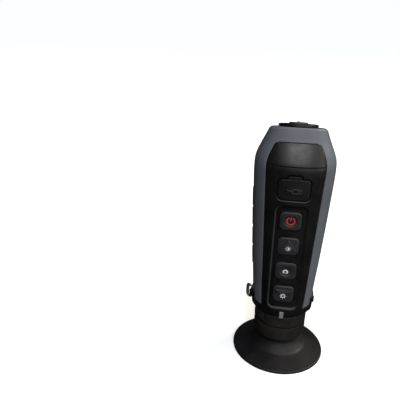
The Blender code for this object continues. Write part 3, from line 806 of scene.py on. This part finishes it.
def make_back(back):
    """Back moulding with raised finger ribs, a blank recess and four counterbored screws."""
    outline = rectangle(10.5, 0.8, 0.7)
    layers = [(0.78, 0.5), (0.6, 0.48), (0.4, 0.4), (0.2, 0.25), (0.05, 0.05), (0.0, -0.8)]
    ribs = [relief("rib", (0.0, z), outline, layers, back=True) for z in spread(104.0, 128.0, 6)]
    combined(back, "UNION", merged(*ribs))
    blank = crown(9.0, -0.45, stop=0.3)
    blank += [(0.1, -0.38), (0.0, -0.2), (-0.15, -0.05), (-0.4, 0.04), (-0.6, 3.0)]
    cutters = [relief("cut_blank", (0.0, 78.0), rectangle(9.0, 13.0, 2.0), blank, back=True)]
    hole = [(0, 5.0), (3.6, 5.0), (2.75, 0.15), (2.5, -0.3), (2.5, -1.5), (1.3, -1.5), (1.3, -6.0), (0, -6.0)]
    places = [(x, z) for z in (49.0, 138.0) for x in (-11.0, 11.0)]
    facing_back = Matrix.Rotation(-math.pi / 2, 4, "X")
    for number, (x, z) in enumerate(places, start=1):
        seat = Matrix.Translation((x, depth_at(x, z, back=True), z)) @ facing_back
        cutter = turned(f"cut_screw_{number}", hole, 48)
        cutter.matrix_world = seat
        cutters.append(cutter)
        make_screw(number, seat)
    combined(back, "DIFFERENCE", *cutters)
    place(back, "black_plastic", "housing", "back_shell")


def make_screw(number, seat):
    head = [(0, -0.4), (1.2, -0.42), (1.8, -0.55), (2.1, -0.8), (2.1, -1.2)]
    shank = [(1.0, -1.3), (1.0, -7.0), (0, -7.0)]
    screw = turned(f"housing_screw_{number}_look", head + shank, 40)
    slots = [block("slot", (-1.3, -0.25, -1.0), (1.3, 0.25, 0.5), 0.0),
             block("slot", (-0.25, -1.3, -1.0), (0.25, 1.3, 0.5), 0.0)]
    combined(screw, "DIFFERENCE", *slots)
    screw.matrix_world = seat @ Matrix.Rotation(0.6 * number, 4, "Z")
    place(screw, "steel", "housing", f"housing_screw_{number}")


def make_index_mark():
    layers = crown(1.4, 0.85, step=0.6, stop=0.3) + [(0.12, 0.82), (0.03, 0.7), (0.0, 0.5), (0.0, 0.3)]
    mark = relief("index_mark_look", (0.0, 39.65), rectangle(1.4, 2.5, 0.4), layers)
    place(mark, "index_mark", "housing", "index_mark")


# ---- keys ----

def key_body(label, z):
    outline = rectangle(KEY_HALF_W, KEY_HALF_H, KEY_CORNER)
    top = crown(KEY_HALF_H, KEY_PROUD, step=1.2, stop=1.0)
    edge = [(0.7, 0.05), (0.42, 0.17), (0.2, 0.36), (0.06, 0.6), (0.0, 0.9)]
    side = [(inset, KEY_PROUD - drop) for inset, drop in edge]
    flange_and_pin = [(0.0, -2.5), (-0.9, -2.5), (-0.9, -3.0), (5.0, -3.0), (5.0, -4.05)]
    return relief(f"key_{label}_look", (0.0, z), outline, top + side + flange_and_pin)


def dished(key, z):
    layers = crown(3.0, KEY_PROUD - DISH_DEPTH, step=0.9, stop=0.1)
    rim = [(-0.35, 0.86), (-0.75, 0.45), (-1.0, 0.12)]
    layers += [(inset, KEY_PROUD - DISH_DEPTH * share) for inset, share in rim]
    layers += [(-1.25, KEY_PROUD + 0.03), (-2.0, KEY_PROUD + 1.5)]
    return combined(key, "DIFFERENCE", relief("cut_dish", (0.0, z), circle(3.0), layers))


def lean(made):
    """Lowers what stands on a key's face towards the right, where it runs into the face."""
    for vertex in made.data.vertices:
        x, y, z = vertex.co
        face_y = -depth_at(x, z) - KEY_PROUD
        if y < face_y:
            share = min(1.0, max(0.12, 0.62 - 0.5 * x / ARROW_HALF_BASE))
            vertex.co.y = face_y + (y - face_y) * share
    return made


def arrowed(key, z, up):
    """Raises a broad triangle from the key's face, steep on its left and fading away on its right."""
    corners = [(-ARROW_HALF_BASE, -4.0), (ARROW_HALF_BASE, -4.0), (0.0, ARROW_HEIGHT - 4.0)]
    if not up:
        corners = [(-x, -height) for x, height in corners]
    top = KEY_PROUD + ARROW_PROUD
    layers = [(2.6, top), (1.6, top), (0.65, top), (0.5, top - 0.05), (0.32, top - 0.22), (0.12, top - 0.55),
              (0.0, KEY_PROUD - 0.02), (0.0, KEY_PROUD - 0.8)]
    combined(key, "UNION", lean(relief("arrow", (0.0, z), rounded(corners, 0.6), layers)))
    left = [corner for corner in corners if corner[0] <= 0.0]
    middle = Vector((sum(x for x, _ in left), sum(height for _, height in left))) / 2
    line = [middle + (Vector(corner) - middle) * 0.88 for corner in left]
    return combined(key, "DIFFERENCE", stroke("cut_line", (-0.1, z), line, 0.3, 1.5, KEY_PROUD - 0.7))


def sun_strokes(centre, above, below, ring_r, ray_from, ray_to, half_width):
    """A ring with eight rays."""
    parts = [stroke("ring", centre, arc(ring_r, 0.0, 360.0, 28)[:-1], half_width, above, below, closed=True)]
    for k in range(8):
        turn = math.pi / 4 * k
        ends = [(math.cos(turn) * r, math.sin(turn) * r) for r in (ray_from, ray_to)]
        parts.append(stroke("ray", centre, ends, half_width * 0.95, above, below))
    return parts


def icon(name, parts, finish, body):
    made = merged(*parts)
    made.name = name
    place(made, finish, body, slot="index_mark")


def make_power_key(z):
    place(dished(key_body("power", z), z), "key_rubber", "key_power", "key_power")
    floor = KEY_PROUD - DISH_DEPTH
    spot = (0.0, z + 0.2)
    halo = relief("halo", spot, circle(3.0), [(2.0, floor + 0.02), (0.1, floor + 0.02), (0.0, floor - 0.2)])
    icon("power_icon_glow", [halo], "icon_glow", "key_power")
    open_deg = 27.0
    above, below = floor + 0.07, floor - 0.2
    ring = stroke("ring", spot, arc(2.45, 90.0 + open_deg, 450.0 - open_deg, 36), 0.34, above, below)
    bar = stroke("bar", spot, [(0.0, 0.2), (0.0, 2.95)], 0.27, above, below)
    icon("power_icon", [ring, bar], "icon_red", "key_power")


def make_up_key(z):
    place(arrowed(key_body("up", z), z + 0.2, True), "key_rubber", "key_up", "key_up")
    top = KEY_PROUD + ARROW_PROUD
    spot = (0.0, z - 1.2)
    parts = sun_strokes(spot, top + 0.08, top - 0.25, 0.95, 1.5, 2.0, 0.13)
    half = rounded([(0.0, -0.95), (0.65, -0.75), (0.95, 0.0), (0.65, 0.75), (0.0, 0.95)], 0.1, 3)
    parts.append(relief("half", spot, half, [(0.1, top + 0.08), (0.0, top - 0.25)]))
    icon("brightness_icon", [lean(part) for part in parts], "icon_white", "key_up")


def make_capture_key(z):
    place(dished(key_body("capture", z), z), "key_rubber", "key_capture", "key_capture")
    floor = KEY_PROUD - DISH_DEPTH
    spot = (-0.1, z - 0.5)
    corners = [(-1.75, -1.3), (1.75, -1.3), (1.75, 0.75), (1.05, 1.0)]
    corners += [(0.6, 1.5), (-0.6, 1.5), (-1.05, 1.0), (-1.75, 0.75)]
    layers = [(0.06, floor + 0.05), (0.0, floor + 0.02), (0.0, floor - 0.2)]
    body = relief("body", spot, rounded(corners, 0.3, 3), layers)
    icon("camera_icon", [body], "icon_white", "key_capture")
    dot_layers = [(0.5, floor + 0.09), (0.1, floor + 0.09), (0.0, floor + 0.06), (0.0, floor - 0.1)]
    dot = relief("camera_icon_lens", (spot[0], spot[1] - 0.05), circle(0.85, 24), dot_layers)
    place(dot, "key_rubber", "key_capture")


def make_down_key(z):
    place(arrowed(key_body("down", z), z - 0.4, False), "key_rubber", "key_down", "key_down")
    top = KEY_PROUD + ARROW_PROUD
    spot = (-0.2, z - 1.1)
    parts = sun_strokes(spot, top + 0.08, top - 0.25, 1.05, 1.15, 2.1, 0.19)
    icon("gear_icon", [lean(part) for part in parts], "icon_white", "key_down")


def make_keys():
    makers = {"power": make_power_key, "up": make_up_key, "capture": make_capture_key, "down": make_down_key}
    for label, z in KEY_ROWS:
        makers[label](z)


# ---- port door ----

def make_port_door():
    outline = rectangle(DOOR_HALF_W, DOOR_HALF_H, DOOR_CORNER)
    front = crown(DOOR_HALF_H, DOOR_PROUD, step=1.2, stop=0.9)
    edge = [(0.45, 0.03), (0.25, 0.11), (0.1, 0.25), (0.0, 0.5)]
    front += [(inset, DOOR_PROUD - drop) for inset, drop in edge]
    door = relief("port_door_look", (0.0, DOOR_Z), outline, front + [(0.0, -1.4), (1.5, -1.4)])
    half_tab = 2.2
    tab_layers = crown(half_tab, TAB_ABOVE, step=0.6, stop=0.4)
    tab_layers += [(0.2, TAB_ABOVE - 0.04), (0.06, TAB_ABOVE - 0.15), (0.0, TAB_ABOVE - 0.3), (0.0, -1.1)]
    tab = relief("tab", (0.0, TAB_TOP - half_tab), rectangle(TAB_HALF_W, half_tab, 1.0), tab_layers)
    combined(door, "UNION", tab)
    place(door, "black_rubber", "port_door", "port_door")
    make_plug_pictogram()


def make_plug_pictogram():
    """A generic plug, embossed on the door: two prongs, a body and a lead."""
    spot = (0.6, DOOR_Z - 0.6)
    above, below, half_width = DOOR_PROUD + 0.2, DOOR_PROUD - 0.3, 0.24
    lines = [[(-5.0, 0.9), (-3.4, 0.3), (-1.6, -0.2)], [(2.2, 0.9), (4.4, 0.7)], [(2.2, -0.9), (4.2, -1.1)]]
    parts = [stroke("line", spot, line, half_width, above, below) for line in lines]
    outline = [(-1.6, -1.5), (2.0, -1.5), (2.0, 1.5), (-0.4, 1.5), (-1.6, 0.8)]
    parts.append(stroke("plug", spot, outline, half_width, above, below, closed=True))
    made = merged(*parts)
    made.name = "port_door_pictogram"
    place(made, "pictogram", "port_door", slot="black_rubber")


# ---- objective end ----

def end_face():
    """The sloping end face's own frame, whose Z is the face's normal."""
    centre_z = FACE_Z + math.tan(FACE_TILT) * FACE_FRONT_Y
    return Matrix.Translation((0.0, 0.0, centre_z)) @ Matrix.Rotation(-FACE_TILT, 4, "X")


def make_cap_and_bezel():
    bezel_outline = [(11.3, -0.1), (13.3, -0.1), (13.3, -2.6), (11.3, -2.6)]
    bezel = turned("lens_bezel_look", filleted(bezel_outline, 0.3))
    bezel.matrix_world = end_face()
    place(bezel, "black_plastic", "housing", "lens_bezel")
    outline = [(0, 2.15), (10.9, 2.15), (11.3, 2.0), (12.3, 1.95), (12.6, 1.7), (12.6, 0.25), (10.5, 0.25),
               (10.5, -2.6), (9.3, -2.6), (9.3, 0.6), (0, 0.6)]
    cap = turned("lens_cap_look", filleted(outline, 0.22))
    cap.matrix_world = end_face()
    place(cap, "black_plastic", "lens_cap", "lens_cap")
    boss_outline = [(0, 3.55), (1.0, 3.5), (1.35, 3.15), (5.2, 3.1), (5.9, 2.95), (5.9, 1.9), (0, 1.9)]
    boss = turned("lens_cap_boss", filleted(boss_outline, 0.2))
    boss.matrix_world = end_face()
    place(boss, "boss_plastic", "lens_cap", slot="black_plastic")


# ---- eyepiece end ----

def make_diopter_ring():
    """Ring with two raised lands, and fine ribs between them."""
    outline = [(17.0, 36.8), (17.0, 36.2), (18.05, 36.2), (18.05, 28.0), (14.2, 28.0)]
    outline += [(14.2, 31.2), (15.3, 31.2), (15.3, 32.8), (14.2, 32.8), (14.2, 36.8)]
    ring = turned("diopter_ring_look", filleted(outline, 0.12))
    low, high, raised = 28.0, 36.15, 18.6
    lands = []
    for number, (first, last) in enumerate(((-37.0, 110.0), (143.0, 290.0))):
        reach = math.radians(last - first) * raised / 2
        half_h = (high - low) / 2
        centre = math.radians(first + last) / 2
        rows = []
        for inset, radius in ((3.2, raised), (1.6, raised), (0.5, raised), (0.15, raised - 0.03),
                              (0.04, raised - 0.1), (0.0, raised - 0.25), (0.0, 17.2)):
            points = wrapped_outline(reach, half_h, 2.2, inset)
            rows.append([polar(centre + x / raised, radius, (low + high) / 2 + z) for x, z in points])
        lands.append(stacked(f"land_{number}", rows))
    rib = filleted([(0.0, high - 0.9), (0.62, high - 1.3), (0.62, low + 1.3), (0.0, low + 0.9)], 0.3)
    turns = [turn for start in (110.0, 290.0) for turn in spread(start + 5.0, start + 28.0, 7)]
    ribs = [turned("rib", rib, 12, polar(math.radians(turn), 17.85, 0.0)) for turn in turns]
    merged(ring, *lands, *ribs)
    place(ring, "ring_plastic", "diopter_ring", "diopter_ring", slot="black_plastic")


def wrapped_outline(reach, half_h, radius, inset):
    """A long rounded rectangle with points all along it, so that it can be wrapped round a cylinder."""
    h, bend = half_h - inset, max(radius - inset, 0.1)
    x_end, z_end = reach - inset - bend, h - bend
    points = [(x, h) for x in spread(x_end, -x_end, LAND_LONG_STEPS)]
    points += arc(bend, 90.0, 180.0, LAND_CORNER_STEPS, (-x_end, z_end))[1:]
    points += arc(bend, 180.0, 270.0, LAND_CORNER_STEPS, (-x_end, -z_end))
    points += [(x, -h) for x in spread(-x_end, x_end, LAND_LONG_STEPS)][1:]
    points += arc(bend, -90.0, 0.0, LAND_CORNER_STEPS, (x_end, -z_end))[1:]
    points += arc(bend, 0.0, 90.0, LAND_CORNER_STEPS, (x_end, z_end))[:-1]
    return points


def stacked(name, rings):
    """Joins wrapped outlines into a closed solid, whose ends are filled from one long side to the other."""
    mesh = bmesh.new()
    rings = [[mesh.verts.new(point) for point in ring] for ring in rings]
    for first, second in zip(rings, rings[1:]):
        bridge(mesh, first, second)
    long_side = LAND_LONG_STEPS + 1
    start = long_side + 2 * LAND_CORNER_STEPS
    for ring in (rings[0], rings[-1]):
        top, bottom = ring[:long_side], list(reversed(ring[start:start + long_side]))
        for a, b, c, d in zip(top, top[1:], bottom[1:], bottom):
            mesh.faces.new([a, b, c, d])
        mesh.faces.new([top[-1], *ring[long_side:start + 1]])
        mesh.faces.new([bottom[0], *ring[start + long_side:], top[0]])
    return made_from(name, mesh)


def make_collar_and_eyecup():
    outline = [(15.6, 25.4), (16.6, 25.4), (18.5, 27.4), (18.5, 18.0)]
    outline += [(18.1, 16.7), (17.1, 15.8), (16.2, 15.4), (15.6, 15.4)]
    collar = turned("eyepiece_collar_look", filleted(outline, 0.07))
    place(collar, "ring_plastic", "housing", "eyepiece_collar", slot="black_plastic")
    neck = [(15.3, 26.8), (15.3, 20.0), (15.25, 15.0), (15.0, 13.0), (15.3, 11.4), (16.4, 9.4), (18.0, 7.3),
            (19.3, 5.9)]
    flare = [(19.9, 5.45), (22.0, 4.85), (26.0, 3.85), (30.0, 2.8), (31.6, 2.35)]
    bead = [(32.1, 2.32), (32.7, 2.1), (33.1, 1.5), (33.2, 0.8), (33.05, 0.2), (32.6, 0.0)]
    inside = [(31.4, 0.0), (30.9, 0.45), (30.2, 1.1), (25.5, 2.3), (20.5, 3.5), (16.4, 4.9), (13.6, 7.4),
              (12.4, 10.4), (12.2, 12.5)]
    line = curved(neck) + curved(flare) + curved(bead, 3) + curved(inside, 4)
    line += [Vector((13.9, 12.5)), Vector((13.9, 26.8))]
    eyecup = turned("eyecup_look", line, 144)
    place(eyecup, "black_rubber", "housing", "eyecup")


# ---- strap attachment ----

def make_strap_parts():
    def face(angle, z):
        """A pad with rounded borders."""
        turn = abs(math.degrees(angle))
        proud = LUG_PROUD["left" if angle < 0 else "right"]
        to_side = min(turn - LUG_FIRST, LUG_LAST - turn) * math.radians(1.0) * LUG_RADIUS
        return 0.3 + (proud - 0.3) * swell(min(to_side, z - LUG_BOTTOM, LUG_TOP - z), 0.9)

    for side, sign in (("left", -1), ("right", 1)):
        angle = sign * math.radians(LUG_ANGLE)
        leg = polar(angle, LOOP_RADIAL, 0.0)
        angles = side_angles(sign, LUG_FIRST, LUG_LAST, 44)
        lug = patch(f"strap_lug_{side}_look", angles, spread(LUG_BOTTOM, LUG_TOP, 28), face, 0.05)
        ear = block("ear", (-1.3, -2.6, 38.2), (1.3, 2.6, 43.4), 0.55)
        outwards = Matrix.Rotation(angle - math.pi / 2, 4, "Z")
        ear.matrix_world = Matrix.Translation(polar(angle, 22.6, 0.0)) @ outwards
        combined(lug, "UNION", ear)
        combined(lug, "DIFFERENCE", post(LOOP_WIRE_R + 0.15, 30.0, 60.0, 24, leg))
        if side == "left":
            # Room for the loop's upper bar, all the way round its swing
            combined(lug, "DIFFERENCE", post(LOOP_REACH + SLOT_ROOM, SLOT_BOTTOM, SLOT_TOP, 48, leg))
        place(lug, "black_plastic", "housing", f"strap_lug_{side}")
        make_loop(side, leg)


def make_loop(side, leg):
    """A D-shaped loop that hangs on its straight round leg and is broader on its outer side."""
    mesh = bmesh.new()
    outline = rectangle(LOOP_REACH / 2, LOOP_HALF_H, 1.9)(0.0)
    turns = [2 * math.pi * k / LOOP_SIDES for k in range(LOOP_SIDES)]
    heading = math.radians(LOOP_HEADINGS[side])
    along, up = Vector((math.cos(heading), math.sin(heading), 0.0)), Vector((0.0, 0.0, 1.0))
    rings = []
    for k, point in enumerate(outline):
        step = (outline[(k + 1) % len(outline)] - outline[k - 1]).normalized()
        aside = along * step.y - up * step.x
        flat = along.cross(up)
        middle = leg + Vector((0.0, 0.0, LOOP_Z)) + along * (point.x + LOOP_REACH / 2) + up * point.y
        reach = LOOP_WIRE_R + LOOP_FLARE * smoothstep(0.5 + point.x / LOOP_REACH)
        ring = [middle + aside * math.cos(a) * reach + flat * math.sin(a) * LOOP_WIRE_R for a in turns]
        rings.append([mesh.verts.new(corner) for corner in ring])
    for k, ring in enumerate(rings):
        bridge(mesh, ring, rings[(k + 1) % len(rings)])
    loop = made_from(f"strap_loop_{side}_look", mesh, 60.0)
    place(loop, "dark_steel", f"strap_loop_{side}", f"strap_loop_{side}", slot="steel")


# ---- pieces inside, which keep their CAD shape ----

def finish_inner_nodes():
    groups = {
        "black_plastic": ("port_frame", "battery_tray", "display_holder", "eyepiece_lens_cell"),
        "black_rubber": ("objective_o_ring", "eyepiece_o_ring"),
        "steel": ("usb_socket", "video_socket", "shutter_solenoid", "shutter_blade"),
        "alloy": ("objective_barrel", "objective_spacer", "objective_retaining_ring", "objective_mount",
                  "core_housing", "shutter_frame", "display_module", "eyepiece_barrel", "eyepiece_flange",
                  "key_switch_power", "key_switch_up", "key_switch_capture", "key_switch_down"),
        "optical_glass": ("eyepiece_eye_lens", "eyepiece_field_lens"),
        "germanium": ("objective_front_lens", "objective_rear_lens"),
        "circuit_board": ("key_board", "main_board", "core_board", "port_board"),
        "flex_film": ("display_flex",),
        "cell_wrap": ("battery_cell", "detector_package"),
    }
    for finish, nodes in groups.items():
        for node in nodes:
            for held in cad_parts[node].material_slots:
                held.material = FINISH[finish]


# ---- scene ----

# Light: azimuth 0 is in front of the key panel and 90 on its right, in degrees
SOFTBOX_AZIMUTH, SOFTBOX_ELEVATION, SOFTBOX_GLOW, DARK_SIDE = 26.0, 40.0, 1.3, 0.01
SOFTBOX_EDGE = 0.42  # cosine of the angle from its middle at which it has faded out
WARM = (1.0, 0.91, 0.8)
# Name, strength, azimuth, elevation, spread, colour, and whether it makes highlights
SUNS = (
    ("key_light", 0.75, 8.0, 38.0, 22.0, (1.0, 0.99, 0.97), True),
    ("fill_light", 1.9, 4.0, 60.0, 50.0, (0.95, 0.98, 1.0), False),
    ("side_light", 2.6, 106.0, 36.0, 34.0, WARM, True),
    ("low_light", 0.35, 66.0, 4.0, 30.0, WARM, True),
)


def make_floor():
    """A pale floor, which is left out of reflections and of the light that bounces onto the object."""
    mesh = bmesh.new()
    bmesh.ops.create_grid(mesh, x_segments=8, y_segments=8, size=6.0)
    floor = made_from("floor", mesh)
    finish = Finish("floor_paper", 0.9, specular=0.1)
    cloud = finish.levels(finish.noise(120.0, 2.0), 0.3, 0.7, 0.0, 1.0)
    finish.colour(finish.mix(cloud, (0.95, 0.95, 0.95), (0.97, 0.97, 0.97)))
    floor.data.materials.append(finish.material)
    floor.visible_glossy = False
    floor.visible_diffuse = False


def towards(azimuth, elevation):
    turn, rise = math.radians(azimuth), math.radians(elevation)
    return Vector((math.sin(turn) * math.cos(rise), -math.cos(turn) * math.cos(rise), math.sin(rise)))


def make_sun(name, strength, azimuth, elevation, spread_deg, colour, mirrored):
    """Soft sunlight. Unless mirrored, it makes no highlights."""
    data = bpy.data.lights.new(name, "SUN")
    data.energy = strength
    data.angle = math.radians(spread_deg)
    data.color = colour
    lamp = bpy.data.objects.new(name, data)
    lamp.rotation_euler = towards(azimuth, elevation).to_track_quat("Z", "Y").to_euler()
    lamp.visible_glossy = mirrored
    bpy.context.scene.collection.objects.link(lamp)


def make_studio_world():
    """White to the camera. As light, it is one very large soft source in front, above and to the right."""
    world = bpy.data.worlds.new("studio")
    bpy.context.scene.world = world
    world.use_nodes = True
    tree = world.node_tree
    backdrop = tree.nodes["Background"]
    direction = tree.nodes.new("ShaderNodeTexCoord").outputs["Generated"]
    toward = tree.nodes.new("ShaderNodeVectorMath")
    toward.operation = "DOT_PRODUCT"
    toward.inputs[1].default_value = towards(SOFTBOX_AZIMUTH, SOFTBOX_ELEVATION)
    glow = tree.nodes.new("ShaderNodeMapRange")
    glow.interpolation_type = "SMOOTHSTEP"
    glow.inputs["From Min"].default_value = SOFTBOX_EDGE
    glow.inputs["From Max"].default_value = 1.0
    glow.inputs["To Min"].default_value = DARK_SIDE
    glow.inputs["To Max"].default_value = SOFTBOX_GLOW
    choice = tree.nodes.new("ShaderNodeMix")
    seen = tree.nodes.new("ShaderNodeLightPath").outputs["Is Camera Ray"]
    tree.links.new(direction, toward.inputs[0])
    tree.links.new(toward.outputs["Value"], glow.inputs["Value"])
    tree.links.new(seen, choice.inputs["Factor"])
    tree.links.new(glow.outputs["Result"], choice.inputs["A"])
    choice.inputs["B"].default_value = 1.0
    tree.links.new(choice.outputs["Result"], backdrop.inputs["Strength"])
    backdrop.inputs["Color"].default_value = (0.98, 0.99, 1.0, 1.0)


def make_light():
    make_studio_world()
    for sun in SUNS:
        make_sun(*sun)
    bpy.context.scene.view_settings.view_transform = "Standard"


def make_camera():
    """Seen slightly from above and from the left, with the object right of the picture's centre."""
    place_mm = Vector((-15.58, -290.98, 221.97))
    yaw, pitch, roll = -0.1595, 0.3553, 0.0247
    look = Vector((math.sin(yaw) * math.cos(pitch), math.cos(yaw) * math.cos(pitch), -math.sin(pitch)))
    right = Vector((math.cos(yaw), -math.sin(yaw), 0.0))
    up = right.cross(look)
    side, top = right * math.cos(roll) + up * math.sin(roll), up * math.cos(roll) - right * math.sin(roll)
    data = bpy.data.cameras.new("camera")
    data.lens = 40.32
    data.sensor_width = 36.0
    data.clip_start = 0.01
    camera = bpy.data.objects.new("camera", data)
    bpy.context.scene.collection.objects.link(camera)
    turned_to = Matrix((side, top, -look)).transposed().to_4x4()
    camera.matrix_world = Matrix.Translation(place_mm * MM) @ turned_to
    bpy.context.scene.camera = camera


FINISH = make_finishes()
make_casing()
make_index_mark()
make_keys()
make_port_door()
make_cap_and_bezel()
make_diopter_ring()
make_collar_and_eyecup()
make_strap_parts()
finish_inner_nodes()
make_floor()
make_light()
make_camera()

bpy.context.view_layer.update()
